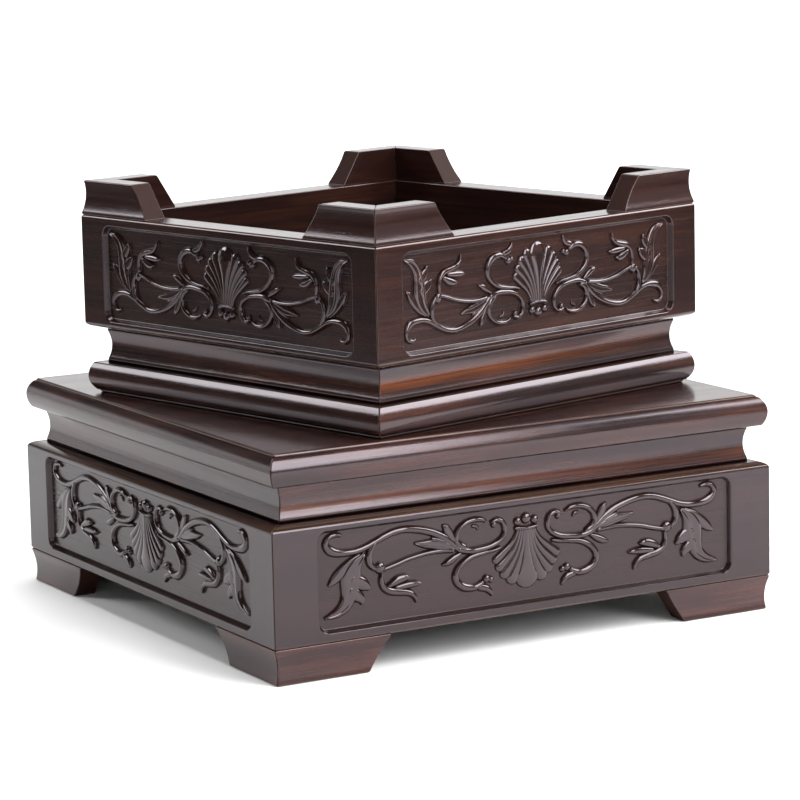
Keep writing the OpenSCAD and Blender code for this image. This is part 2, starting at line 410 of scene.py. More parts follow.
@dataclass(frozen=True)
class Carving:
    """Shell and leaf scrolls in low relief: strokes on the middle, and strokes of one half that is mirrored.

    Sizes are those on the large stand. The small stand's ornament is the same one, drawn in sideways, less
    so at its middle, and cut a little nearer the feet. spacing is the distance between a ribbon's rows, sunk
    how far its sides go into the ground, and fuller a factor on the half widths of the scrolls and leaves.
    """

    field_half: float = 83.2
    spacing: float = 0.45
    sunk: float = 0.3
    fuller: float = 1.1

    def middle(self) -> list[Stroke]:
        """The shell's middle lobe, its collar and the top knob of its finial.

        Returns:
            The strokes on the middle.
        """
        return [
            Stroke(((0, 41.4, 1.0), (0, 36, 1.4), (0, 31, 2.4), (0, 27.6, 3.8), (0, 25.6, 4.9)), 1.4, 2.4),
            Stroke(((-4.2, 42.2, 0.7), (0, 41.7, 0.8), (4.2, 42.2, 0.7)), 1.35),
            Stroke(((0, 45.3, 1.9),), 1.5),
        ]

    def shell(self) -> list[Stroke]:
        """Four side lobes whose ribs bend outwards from the neck, and a side knob of the finial.

        Returns:
            The strokes of one half.
        """
        return [
            Stroke(((0.9, 41.4, 0.8), (1.4, 37, 1.0), (2.6, 32.6, 1.3), (4.2, 28.6, 1.8),
                    (5.9, 25, 2.4)), 1.25, 2.4),
            Stroke(((1.7, 41.4, 0.8), (2.5, 37.4, 0.9), (3.9, 33.8, 1.1), (6.2, 30.2, 1.5),
                    (8.8, 26.9, 2.0)), 1.15, 2.4),
            Stroke(((2.5, 41.4, 0.8), (3.4, 38.2, 0.9), (5.0, 35.2, 1.1), (7.6, 32.2, 1.4),
                    (10.8, 29.4, 1.7)), 1.05, 2.4),
            Stroke(((3.3, 41.4, 0.7), (4.3, 39.2, 0.8), (6.2, 36.8, 1.0), (9.0, 34.4, 1.3),
                    (12.1, 32, 1.5)), 0.95, 2.4),
            Stroke(((3.4, 44.5, 1.5),), 1.4),
        ]

    def ring_scrolls(self) -> list[Stroke]:
        """The two C-scrolls that make an open ring beside the shell, and the S-scroll under it.

        Returns:
            The strokes of one half.
        """
        return [
            Stroke(((13.6, 45.6, 0.6), (11.6, 46.1, 0.8), (9.5, 45.1, 0.85), (8.6, 42.9, 0.85),
                    (9.0, 40.6, 0.85), (10.9, 38.7, 0.9), (14.2, 37.3, 0.95), (18.2, 36.7, 1.0),
                    (22.7, 36.6, 1.05), (26.6, 37.6, 1.1))),
            Stroke(((12.9, 44.6, 1.0),), 1.3),
            Stroke(((15.9, 46.1, 0.4), (18.2, 47, 0.75), (21.7, 47.1, 0.85), (25, 46, 0.9),
                    (27.3, 43.9, 0.95), (27.9, 41.4, 1.1), (26.9, 39.3, 1.35), (24.6, 38.1, 1.0))),
            Stroke(((19.1, 43.6, 0.3), (19.6, 44.6, 0.5), (21.2, 45, 0.35)), 0.8),
            Stroke(((10.5, 36.3, 0.5), (13, 35.7, 0.6), (17.2, 35.3, 0.75), (22.2, 34.4, 0.9),
                    (26.2, 32.2, 1.0), (28.3, 29.2, 1.1), (27.6, 26.2, 1.25), (24.7, 24.2, 1.3),
                    (21, 23.7, 1.1), (18.4, 24.7, 0.8))),
            Stroke(((16.2, 26.1, 1.3),), 1.4),
            Stroke(((14.4, 25.6, 1.0),), 1.2),
            Stroke(((18.1, 24.9, 0.9),), 1.3),
            Stroke(((18.7, 23.4, 1.1), (16.2, 22.7, 1.1), (14.8, 21.4, 0.9), (14.2, 20.2, 0.4)), 1.2, 2.2),
        ]

    def long_stem(self) -> list[Stroke]:
        """The stem that arches over to the outer end and hooks back, with its inner branch and knob.

        Returns:
            The strokes of one half.
        """
        return [
            Stroke(((72.3, 48.1, 0.45), (74.5, 48.5, 0.7), (77, 47.8, 0.85), (78.1, 45.7, 1.05),
                    (76.4, 43.4, 1.4), (73.2, 42.2, 1.2), (68.2, 41.9, 1.0), (64.2, 42.5, 1.0),
                    (60.2, 43.9, 1.0), (56.2, 45.5, 1.0), (52.2, 46.7, 1.0), (48.2, 47.1, 1.0),
                    (44.2, 46.7, 1.05), (40.2, 45.8, 1.1), (36.2, 44.4, 1.15), (32.2, 42.2, 1.25),
                    (29, 39.6, 1.35), (27.4, 38.2, 1.1)), 1.2),
            Stroke(((59.7, 43.6, 0.9), (61.2, 41.6, 1.1), (61.8, 39.2, 1.15), (61.3, 36.9, 1.05),
                    (59.7, 35.3, 0.9))),
            Stroke(((57.7, 35.2, 1.8),), 1.5, 2.2),
            Stroke(((56, 34.6, 0.75), (51.3, 35.7, 0.75), (47.3, 36.8, 0.75), (43.3, 37.5, 0.75),
                    (39.3, 38, 0.75), (34.3, 38.1, 0.8), (29.4, 37.8, 0.9))),
            Stroke(((57, 33.3, 0.7), (57.2, 30.6, 0.9), (56.2, 28.3, 1.1), (53.7, 26.7, 1.2),
                    (49.7, 25.9, 1.15), (46.3, 25.1, 1.0), (44.5, 23.6, 0.8), (43.9, 21.8, 0.35))),
            Stroke(((54, 28.8, 0.9), (51, 30.1, 1.4), (48.2, 30.7, 1.2), (46.6, 30.6, 0.5)), 1.4, 2.2),
            Stroke(((51.5, 27.7, 0.8), (47, 28, 1.15), (43.5, 28.1, 0.9), (41.8, 28, 0.35)), 1.4, 2.2),
        ]

    def leaves(self) -> list[Stroke]:
        """The acanthus at the outer end and the leaves where the scrolls join.

        Returns:
            The strokes of one half.
        """
        return [
            Stroke(((65.5, 40.4, 0.7), (68.6, 38.7, 1.2), (71.3, 36.6, 1.6), (73.8, 34.4, 1.7),
                    (75.8, 32.7, 1.2), (77.2, 31.7, 0.4)), 1.2, 2.2, 0.15),
            Stroke(((64.2, 40.3, 0.9), (67, 37.4, 2.5), (68.6, 34, 3.6), (69.1, 30.5, 3.4), (69.8, 27, 2.7),
                    (71.3, 24.1, 2.2), (74.4, 21.9, 1.5), (78.8, 20.7, 0.4)), 1.5, 2.4, 0.3),
            Stroke(((68, 32.4, 1.7), (65.6, 31.2, 2.2), (63.4, 29.9, 1.8),
                    (62.2, 29, 0.9)), 1.4, 2.2, 0.15),
            Stroke(((69, 28.6, 1.6), (66.8, 27, 1.9), (65.2, 25.5, 1.5),
                    (64.7, 24.2, 0.7)), 1.4, 2.2, 0.15),
            Stroke(((43.8, 41.8, 0.35), (40.7, 41.2, 1.1), (36.7, 40.7, 1.6), (32.7, 39.6, 1.5),
                    (29.4, 38.5, 1.0)), 1.2, 2.4, 0.2),
            Stroke(((37.3, 42.8, 0.35), (35.7, 42, 0.8), (32.2, 40.6, 0.9)), 1.1, 2.2),
            Stroke(((28.9, 41, 0.8), (30.3, 43.4, 1.3), (31.6, 45.4, 1.3),
                    (32.6, 46.6, 0.5)), 1.2, 2.2, 0.2),
            Stroke(((33.3, 33.1, 0.35), (31.2, 33.7, 1.05), (28.7, 34.9, 1.05),
                    (26.4, 36.1, 0.6)), 1.2, 2.2),
        ]

    def ribbons(self) -> tuple[list[Array], list[Array]]:
        """Works out the grids of all strokes.

        Returns:
            The grids on the middle, and those of one half.
        """
        middle, shell = ([stroke.ribbon(self.spacing, self.sunk, 1) for stroke in part]
                         for part in (self.middle(), self.shell()))
        scrolls = self.ring_scrolls() + self.long_stem() + self.leaves()
        return middle, shell + [stroke.ribbon(self.spacing, self.sunk, self.fuller) for stroke in scrolls]


@dataclass
class Stand:
    """One stand: its measured sizes in mm, the fine sizes of its mouldings, and the pieces made from them."""

    name: str
    width: float
    placement: Placement
    foot_h: float
    apron_top: float
    rail_z: float
    panel_z: float
    top: float
    field_end: float
    foot_l: float
    # Top frame and panel
    rail_in: float = 0.3
    rail_w: float = 24.0
    joint_up: float = 0.6
    nose_tip: float = 5.0
    nose_low: float = 8.5
    nose_high: float = 6.95
    nose_corner: float = 0.7
    panel_in: float = 3.0
    panel_gap: float = 0.2
    panel_round: float = 0.8
    panel_corner: float = 0.8
    # Waist
    waist_in: float = 5.7
    waist_t: float = 9.0
    waist_cove: float = 1.0
    waist_flat: float = 1.3
    # Apron and its sunk field
    apron_t: float = 12.0
    brow_round: float = 1.4
    brow_turn: float = 56.0
    brow_wash: float = 6.0
    apron_ease: float = 1.0
    field_edge: float = 3.2
    field_d: float = 2.0
    field_slope: float = 1.0
    field_corner: float = 4.0
    field_roll: float = 0.35
    field_foot: float = 0.25
    # Feet
    foot_t: float = 9.5
    foot_slant: float = 8.4
    foot_lip_in: float = 0.2
    foot_cove: float = 1.2
    foot_deep: float = 4.5
    foot_flat: float = 0.8
    foot_corner: float = 1.6
    foot_corner_shares: tuple[float, ...] = (0.25, 0.55)
    foot_sole_ease: float = 0.4
    foot_inner_ease: float = 0.2
    # Arrises, mitres and the grid's finest step
    arris: float = 0.3
    mitre_gap: float = 0.09
    mitre_ease: float = 0.35
    cell: float = 0.14
    # Fit and polish of the carving
    carve_middle: float = 1.0
    carve_rise: float = 0.0
    matt_rise: float = 0.35
    crest_shine: float = 0.3
    ground_dull: float = 0.2

    @property
    def body(self) -> str:
        """The body that the stand's pieces ride on."""
        return f"{self.name}_stand"

    def mitre(self, end: End) -> EndRule:
        """Rule of a mitred end: x = -/+ (half the width, less the set-back and half a glue line)."""
        sign = -1 if end is End.LEFT else 1
        return lambda back, z: sign * (self.width / 2 - back - self.mitre_gap)

    def mitred(self, section: Section, between: Array = NO_ROWS) -> Board:
        """Carries a section from mitre to mitre, with rows at the shares between."""
        return Board.carry(section, self.mitre(End.LEFT), self.mitre(End.RIGHT), between, self.mitre_ease)

    def slant(self, back: Array, z: Array) -> Array:
        """Inner end of a foot's left wing: a slanted line whose sole corner is a tangent arc.

        Args:
            back: set-backs, which don't matter here.
            z: heights.

        Returns:
            x of the end.
        """
        lean = math.atan2(self.foot_h, self.foot_slant)
        tangent = self.foot_corner * math.tan(lean / 2)
        sole = self.foot_l - self.foot_slant - self.width / 2
        line = sole + z * self.foot_slant / self.foot_h
        reach = np.sqrt(np.clip(self.foot_corner**2 - (self.foot_corner - z) ** 2, 0, None))
        return np.where(z < self.foot_corner * (1 - math.cos(lean)), sole - tangent + reach, line)

    def rail(self) -> Board:
        """Rail with a flattened round edge, rebated for the panel and mitred at both ends.

        Formula: two arcs meet upright at the tip, of radius nose_high above it and nose_low below. A corner
        arc of radius c ends the lower one at the turn whose sine is (nose_tip - c) / (nose_low - c), and
        meets the underside.

        Returns:
            The grid of the board.
        """
        low = self.rail_z + self.joint_up
        tip, within = low + self.nose_tip, self.nose_low - self.nose_corner
        turn = math.asin((self.nose_tip - self.nose_corner) / within)
        under = (self.rail_in + self.nose_low - within * math.cos(turn), low + self.nose_corner)
        start = OUT + math.degrees(turn)
        brow = OUT - math.degrees(math.acos(1 - (self.panel_in - self.rail_in) / self.nose_high))
        nose = np.vstack([
            arc(under, self.nose_corner, DOWN, start, NOSE_POINTS[0])[:-1],
            arc((self.rail_in + self.nose_low, tip), self.nose_low, start, OUT, NOSE_POINTS[1])[:-1],
            arc((self.rail_in + self.nose_high, tip), self.nose_high, OUT, brow, NOSE_POINTS[2])])
        nose[-1, 2] = self.arris
        inner = self.rail_in + self.rail_w
        rest = np.array([[self.panel_in, self.panel_z, 0], [inner, self.panel_z, self.arris],
                         [inner, low, self.arris]])
        return self.mitred(Section.eased(np.vstack([nose, rest])))

    def waist(self) -> Board:
        """Hollowed strip between the apron and the top frame, mitred at both ends.

        Returns:
            The grid of the board.
        """
        low, high = self.apron_top, self.rail_z + self.joint_up
        hollow = cove(self.waist_in, low + self.waist_flat, high - self.waist_flat, self.waist_cove)
        inner = self.waist_in + self.waist_t
        return self.mitred(Section.eased(np.vstack([
            [self.waist_in, low, 0], hollow, [self.waist_in, high, 0],
            [inner, high, self.arris], [inner, low, self.arris]])))

    def field_half(self) -> tuple[float, float]:
        """Half the length and half the height of the sunk field."""
        return self.width / 2 - self.field_end, (self.apron_top - self.foot_h) / 2 - self.field_edge

    def field_depth(self, x: Array, z: Array) -> Array:
        """Depth of the apron's face below its plane.

        Formula: with q the distance inside a rounded rectangle, the wall falls as depth q / slope,
        its arris rolled and its foot filleted by a smooth maximum and minimum.

        Args:
            x: distances along the side from its middle.
            z: heights.

        Returns:
            Depths in mm, zero outside the field.
        """
        half_x, half_z = self.field_half()
        over_x = np.abs(x) - half_x + self.field_corner
        over_z = np.abs(z - (self.apron_top + self.foot_h) / 2) - half_z + self.field_corner
        outside = np.hypot(np.maximum(over_x, 0), np.maximum(over_z, 0))
        inside = self.field_corner - outside - np.minimum(np.maximum(over_x, over_z), 0)
        wall = smooth_max(inside * self.field_d / self.field_slope, 0 * inside, self.field_roll)
        return -smooth_max(-wall, 0 * wall - self.field_d, self.field_foot)

    def graded(self, half: float) -> Array:
        """Lines across the field: close at its walls and corners, few between them."""
        fine = np.arange(half - self.field_corner, half + self.field_roll, self.cell)
        return np.concatenate([-fine[::-1], np.linspace(-fine[0], fine[0], FIELD_LINES)[1:-1], fine])

    def apron(self) -> Board:
        """Apron with a tight arris and a wash over its upper edge, and its field pressed into the face.

        Formula: the arris of radius r turns by t from the face and goes over into a wash of radius R that
        meets the top, so their centres are (R - r) cos t and (R - r) sin t apart.

        Returns:
            The grid of the board.
        """
        half_x, half_z = self.field_half()
        lean = math.radians(self.brow_turn)
        apart = self.brow_wash - self.brow_round
        turn_z = self.apron_top - self.brow_wash + apart * math.sin(lean)
        face = self.graded(half_z) + (self.apron_top + self.foot_h) / 2
        face = face[face < turn_z - self.cell]
        centre = (self.brow_round + apart * math.cos(lean), self.apron_top - self.brow_wash)
        low = arc((self.brow_round, turn_z), self.brow_round, OUT, OUT - self.brow_turn, BROW_POINTS)
        high = arc(centre, self.brow_wash, OUT - self.brow_turn, UP, BROW_POINTS)
        section = Section.eased(np.vstack([
            [0, self.foot_h, self.apron_ease], np.stack([0 * face, face, 0 * face], 1), low, high[1:],
            [self.apron_t, self.apron_top, self.arris], [self.apron_t, self.foot_h, self.arris]]),
            FINE_EASE_POINTS)
        outer = section.back < self.brow_wash / 2
        handled = np.clip((section.height - turn_z) / self.brow_round, 0, 1) * outer
        section = replace(section, worn=np.maximum(section.worn, handled))
        board = self.mitred(section, self.graded(half_x) / self.width + 0.5)
        front = board.back < self.brow_round
        depth = self.field_depth(board.x, board.z)
        board.back = np.where(front, np.maximum(board.back, depth), board.back)
        board.dull = np.maximum(board.dull, front * self.ground_dull * depth / self.field_d)
        return board

    def relief(self, carving: Carving, shift: float) -> list[Board]:
        """Ribbons of the carving, laid on the ground of the field.

        Formula: a point at distance s from the ornament's middle goes to x = s (m + (e - m) |s| / f), where
        m is carve_middle, e the ratio of this field to the large one, and f half the large field. A point is
        dull on the ground, and less so with its height h, as 1 - h / matt_rise, down to -crest_shine.

        Args:
            carving: the ornament.
            shift: how far this cutting of it is off the middle of the field, in mm.

        Returns:
            The ribbons as boards.
        """
        end = self.field_half()[0] / carving.field_half
        boards = []
        middle, half = carving.ribbons()
        for mirrored, grids in ((False, middle + half), (True, half)):
            for across, z, height in grids:
                out = np.abs(across) / carving.field_half
                x = across * (self.carve_middle + (end - self.carve_middle) * out)
                dull = np.clip(1 - height / self.matt_rise, -self.crest_shine, 1)
                board = Board(x, self.field_d - height, z + self.carve_rise, 0 * x, dull)
                board = board.mirrored() if mirrored else board
                boards.append(replace(board, x=board.x + shift))
        return boards

    def wing(self, end: End) -> Board:
        """One wing of a foot: hollowed face, mitred at the corner, slanted at its inner end.

        Args:
            end: end of the side that the foot is at.

        Returns:
            The grid of the board.
        """
        brow = self.foot_h - self.foot_flat
        hollow = cove(self.foot_lip_in, 2 * self.foot_deep - brow, brow, self.foot_cove, FOOT_POINTS)
        sole_in = float(np.interp(0, hollow[:, 1], hollow[:, 0]))
        hollow = hollow[hollow[:, 1] > self.foot_flat]
        low = self.foot_corner * np.array(self.foot_corner_shares)
        inside = np.stack([0 * low + self.foot_t, low[::-1], 0 * low], 1)
        section = Section.eased(np.vstack([
            [sole_in, 0, self.foot_sole_ease], hollow, [self.foot_lip_in, self.foot_h, self.arris],
            [self.foot_t, self.foot_h, self.arris], inside, [self.foot_t, 0, self.foot_inner_ease]]))
        board = Board.carry(section, self.mitre(End.LEFT), self.slant, NO_ROWS, self.mitre_ease)
        return board.mirrored() if end is End.RIGHT else board

    def panel(self) -> Board:
        """Lay-in panel: its edge carried round a square whose corners are barely rounded.

        Formula: the plan is a rounded square, walked clockwise; each row of the edge profile is the plan
        drawn in by the profile's set-back.

        Returns:
            The grid, with rows up the edge and columns round the plan.
        """
        half = self.width / 2 - self.panel_in - self.panel_gap
        brow = (self.panel_round, self.top - self.panel_round)
        edge = np.vstack([arc((self.arris, self.panel_z + self.arris), self.arris, DOWN, OUT, EDGE_POINTS[0]),
                          arc(brow, self.panel_round, OUT, UP, EDGE_POINTS[1])])
        angle = np.linspace(np.pi / 2, 0, PLAN_POINTS)
        quarter = half - self.panel_corner * (1 - np.stack([np.cos(angle), np.sin(angle)], 1))
        turns = ((1, 0), (0, -1), (-1, 0), (0, 1))
        plan = np.vstack([quarter @ np.array([[c, s], [-s, c]]) for c, s in turns])
        share = 1 - edge[:, :1] / half
        z = edge[:, 1:2] + 0 * plan[:, 0]
        # The top's round edge is marked paler: wear, and a painted highlight
        rubbed = np.sin(np.pi * np.clip((z - self.top) / self.panel_round + 1, 0, 1))
        return Board(share * plan[:, 0], share * plan[:, 1] + self.width / 2, z, rubbed, 0 * z)

    def node(self, piece: str) -> str:
        """Full name of one of the stand's nodes."""
        return f"{self.name}_{piece}"


def measured(name: str, turn: float, upright: bool, field_end: float, foot_l: float) -> Stand:
    """Reads a stand's main sizes and place from the frame.

    Args:
        name: lower or upper.
        turn: turn of the stand in degrees.
        upright: whether it stands on its feet.
        field_end: margin at the ends of its sunk field, in mm.
        foot_l: length of a foot's wing at the apron, in mm.

    Returns:
        The stand.
    """
    boxes = np.array([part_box(f"{name}_apron_{side.label}") for side in Side]) / MM
    low, high = boxes[:, 0].min(0), boxes[:, 1].max(0)
    angle = math.radians(turn)
    width = float(high[0] - low[0]) / (math.cos(angle) + math.sin(angle))
    (foot_h, apron_top), (rail_z, _), (panel_z, top) = (
        (np.array(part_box(f"lower_{piece}"))[:, 2] / MM).tolist()
        for piece in ("apron_front", "top_rail_front", "top_panel"))
    placement = Placement(angle, tuple((low + high)[:2] / 2), None if upright else 2 * top)
    return Stand(name, width, placement, foot_h, apron_top, rail_z, panel_z, top, field_end, foot_l)


def add_node(tree: bpy.types.NodeTree, kind: str, inputs: dict | None = None,
             **settings: object) -> bpy.types.Node:
    """Adds a shader node, sets its properties and fills its inputs.

    Args:
        tree: node tree to add to.
        kind: node type without its ShaderNode prefix.
        inputs: socket names or numbers with the socket to link or the value to set.
        settings: node properties.

    Returns:
        The node.
    """
    made = tree.nodes.new(f"ShaderNode{kind}")
    for name, value in settings.items():
        setattr(made, name, value)
    for key, value in (inputs or {}).items():
        if isinstance(value, bpy.types.NodeSocket):
            tree.links.new(value, made.inputs[key])
        else:
            made.inputs[key].default_value = value
    return made


def new_material(name: str) -> tuple[bpy.types.Material, bpy.types.Node]:
    """Starts a material.

    Args:
        name: name of the material.

    Returns:
        The material and its shader.
    """
    made = bpy.data.materials.new(name)
    made.use_nodes = True
    return made, made.node_tree.nodes["Principled BSDF"]


def new_object(name: str, data: bpy.types.ID) -> bpy.types.Object:
    """Adds an object to the scene.

    Args:
        name: name of the object.
        data: its mesh, light or camera.

    Returns:
        The object.
    """
    made = bpy.data.objects.new(name, data)
    bpy.context.scene.collection.objects.link(made)
    return made


@dataclass(frozen=True)
class Pattern:
    """Noise drawn out along the grain: its size along and across it in mm, its detail, and the lowest and
    highest of the values that are spread over 0 to 1.
    """

    along: float
    across: float
    detail: float
    low: float
    high: float


@dataclass(frozen=True)
class Blackwood:
    """Chinese blackwood heartwood, scraped, polished and waxed.

    The eye sees near black wood with red-brown figure along the board, a tan streak here and there, short
    fine pores, a deep polish, and dry ground round the carving. Eased arrises are painted paler, partly as
    wear from handling and partly as a painted highlight, and the reflections take a painted pinkish tint.
    """

    name: str
    heart: str = "#180d0b"
    brown: str = "#46251b"
    vein: str = "#573323"
    tan: str = "#a85a22"
    # Paler colour of eased arrises: part wear from handling, part a painted highlight
    rubbed: str = "#7a5c46"
    dry: str = "#2a1913"
    pore: str = "#080505"
    # Painted tint of the reflections: the pinkish colour of the mirrored room's light, put on the polish
    cast: str = "#fff3fd"
    # Figure, and the ripple that a hand scraper leaves
    bands: Pattern = Pattern(70.0, 7.0, 3.0, 0.3, 0.8)
    veins: Pattern = Pattern(45.0, 1.6, 3.0, 0.4, 0.75)
    ripple: Pattern = Pattern(34.0, 11.0, 1.0, 0.2, 0.8)
    # Real fibres and pores are finer. These are drawn coarse enough to show in the render.
    fibres: Pattern = Pattern(40.0, 0.7, 3.0, 0.3, 0.7)
    pores: Pattern = Pattern(5.0, 0.35, 2.0, 0.58, 0.72)
    noise_roughness: float = 0.6
    noise_warp: float = 0.4
    mottle_low: float = 0.35
    rubbed_share: float = 0.25
    pore_share: float = 0.35
    # Heights of the pores and fibres against the ripple's, and the bump of all three
    pore_height: float = -0.25
    fibre_height: float = 0.25
    bump_strength: float = 0.5
    bump_mm: float = 0.04
    # Roughness and shine of polished wood, and what full dullness adds to each
    polish: tuple[float, float] = (0.13, 0.22)
    dull_roughness: float = 0.3
    shine: float = 0.5
    dull_shine: float = -0.42
    ior: float = 1.52

    def material(self) -> bpy.types.Material:
        """Builds the finish. It reads what each mesh carries: grain coordinates in mm, the share of brown, a
        streak, how far its edges are painted paler (wear, and a painted highlight), and how dull the wood is.

        Returns:
            The material.
        """
        made, shader = new_material(self.name)
        tree = made.node_tree
        read = {name: add_node(tree, "Attribute", attribute_name=name).outputs for name in
                ("grain", "figured", "streak", "worn", "dull")}
        noise = {}
        for name in ("bands", "veins", "fibres", "pores", "ripple"):
            pattern = getattr(self, name)
            scale = (1 / pattern.along, 1 / pattern.across, 1 / pattern.across)
            place = add_node(tree, "VectorMath", {0: read["grain"]["Vector"], 1: scale}, operation="MULTIPLY")
            cloud = add_node(tree, "TexNoise", {
                "Vector": place.outputs[0], "Scale": 1.0, "Detail": pattern.detail,
                "Roughness": self.noise_roughness, "Distortion": self.noise_warp})
            spread = add_node(tree, "MapRange", {"Value": cloud.outputs["Fac"], "From Min": pattern.low,
                                                 "From Max": pattern.high}, interpolation_type="SMOOTHSTEP")
            noise[name] = spread.outputs["Result"]
        mottle = add_node(tree, "MapRange", {"Value": noise["fibres"], "To Min": self.mottle_low}).outputs[0]
        glint_and_wear_mask, veined = (
            add_node(tree, "Math", {0: first, 1: second}, operation="MULTIPLY").outputs[0]
            for first, second in ((read["worn"]["Fac"], mottle), (noise["veins"], noise["bands"])))
        layers = (
            (noise["bands"], read["figured"]["Fac"], self.brown),
            (veined, read["figured"]["Fac"], self.vein),
            (mottle, read["streak"]["Fac"], self.tan),
            # Eased arrises and ends painted paler: wear, and a painted highlight where the edges catch the
            # light
            (glint_and_wear_mask, self.rubbed_share, self.rubbed),
            (mottle, read["dull"]["Fac"], self.dry),
            (noise["pores"], self.pore_share, self.pore),
        )
        colour = linear(self.heart)
        for pattern, share, shade in layers:
            weight = add_node(tree, "Math", {0: pattern, 1: share}, operation="MULTIPLY").outputs[0]
            mixed = add_node(tree, "Mix", {0: weight, 6: colour, 7: linear(shade)}, data_type="RGBA")
            colour = mixed.outputs[2]
        relief = noise["ripple"]
        for name, height in (("pores", self.pore_height), ("fibres", self.fibre_height)):
            raised = add_node(tree, "Math", {0: noise[name], 1: height, 2: relief}, operation="MULTIPLY_ADD")
            relief = raised.outputs[0]
        bump = add_node(tree, "Bump", {
            "Strength": self.bump_strength, "Distance": self.bump_mm * MM, "Height": relief})
        low, high = self.polish
        polish = add_node(tree, "MapRange", {"Value": noise["fibres"], "To Min": low, "To Max": high})
        roughness, shine = (
            add_node(tree, "Math", {0: read["dull"]["Fac"], 1: added, 2: base}, operation="MULTIPLY_ADD")
            for added, base in ((self.dull_roughness, polish.outputs[0]), (self.dull_shine, self.shine)))
        tree.links.new(colour, shader.inputs["Base Color"])
        tree.links.new(roughness.outputs[0], shader.inputs["Roughness"])
        tree.links.new(shine.outputs[0], shader.inputs["Specular IOR Level"])
        tree.links.new(bump.outputs["Normal"], shader.inputs["Normal"])
        # Every reflection takes the painted pinkish tint of the room's light
        shader.inputs["Specular Tint"].default_value = linear(self.cast)
        shader.inputs["IOR"].default_value = self.ior
        return made


@dataclass(frozen=True)
class PlanedWood:
    """Plain wood inside the stands, planed or split and left bare: dull, its grain along the piece.

    grain_mm is the grain's size along and across, and turn the angle that lays it along the stand.
    """

    name: str
    dark: str
    light: str
    turn: float = 0.0
    roughness: float = 0.6
    grain_mm: tuple[float, float] = (45.0, 2.2)
    grain_detail: float = 4.0
    grain_warp: float = 0.3
    bump_strength: float = 0.5
    bump_mm: float = 0.08
    ior: float = 1.5

    def material(self) -> bpy.types.Material:
        """Builds the finish on object coordinates, turned so that the grain follows the stand.

        Returns:
            The material.
        """
        made, shader = new_material(self.name)
        tree = made.node_tree
        place = add_node(tree, "TexCoord").outputs["Object"]
        along, across = self.grain_mm
        scale = tuple(1 / (MM * size) for size in (along, across, across))
        turned = add_node(tree, "Mapping", {"Vector": place, "Rotation": (0, 0, -self.turn)})
        drawn = add_node(tree, "VectorMath", {0: turned.outputs[0], 1: scale}, operation="MULTIPLY")
        noise = add_node(tree, "TexNoise", {
            "Vector": drawn.outputs[0], "Scale": 1.0, "Detail": self.grain_detail,
            "Distortion": self.grain_warp})
        mix = add_node(tree, "Mix", {0: noise.outputs["Fac"], 6: linear(self.dark), 7: linear(self.light)},
                       data_type="RGBA")
        bump = add_node(tree, "Bump", {
            "Strength": self.bump_strength, "Distance": self.bump_mm * MM, "Height": noise.outputs["Fac"]})
        tree.links.new(mix.outputs[2], shader.inputs["Base Color"])
        tree.links.new(bump.outputs["Normal"], shader.inputs["Normal"])
        shader.inputs["Roughness"].default_value = self.roughness
        shader.inputs["IOR"].default_value = self.ior
        return made


@dataclass(frozen=True)
class Figure:
    """How a board is figured: its share of brown, and a tan streak along it, in mm.

    The streak has a height, a half width and a strength, and swings up and down along a wave that begins at
    start. steady is the share of its strength that stays the same all along.
    """

    brown: float
    height: float = 0.0
    half: float = 1.0
    strength: float = 0.0
    start: float = 0.0
    swing: float = 1.5
    wave: float = 26.0
    steady: float = 0.6

    def streak(self, x: Array, z: Array) -> Array:
        """Strength of the streak at points of the board.

        Formula: with c = cos((x - start) / wave), it is strength (steady + (1 - steady) c)
        exp(-((z - height - swing c) / half)^2), so the streak is strongest at its start.

        Args:
            x: distances along the board.
            z: heights.

        Returns:
            Shares of tan.
        """
        wander = np.cos((x - self.start) / self.wave)
        off = (z - self.height - self.swing * wander) / self.half
        return self.strength * (self.steady + (1 - self.steady) * wander) * np.exp(-off**2)


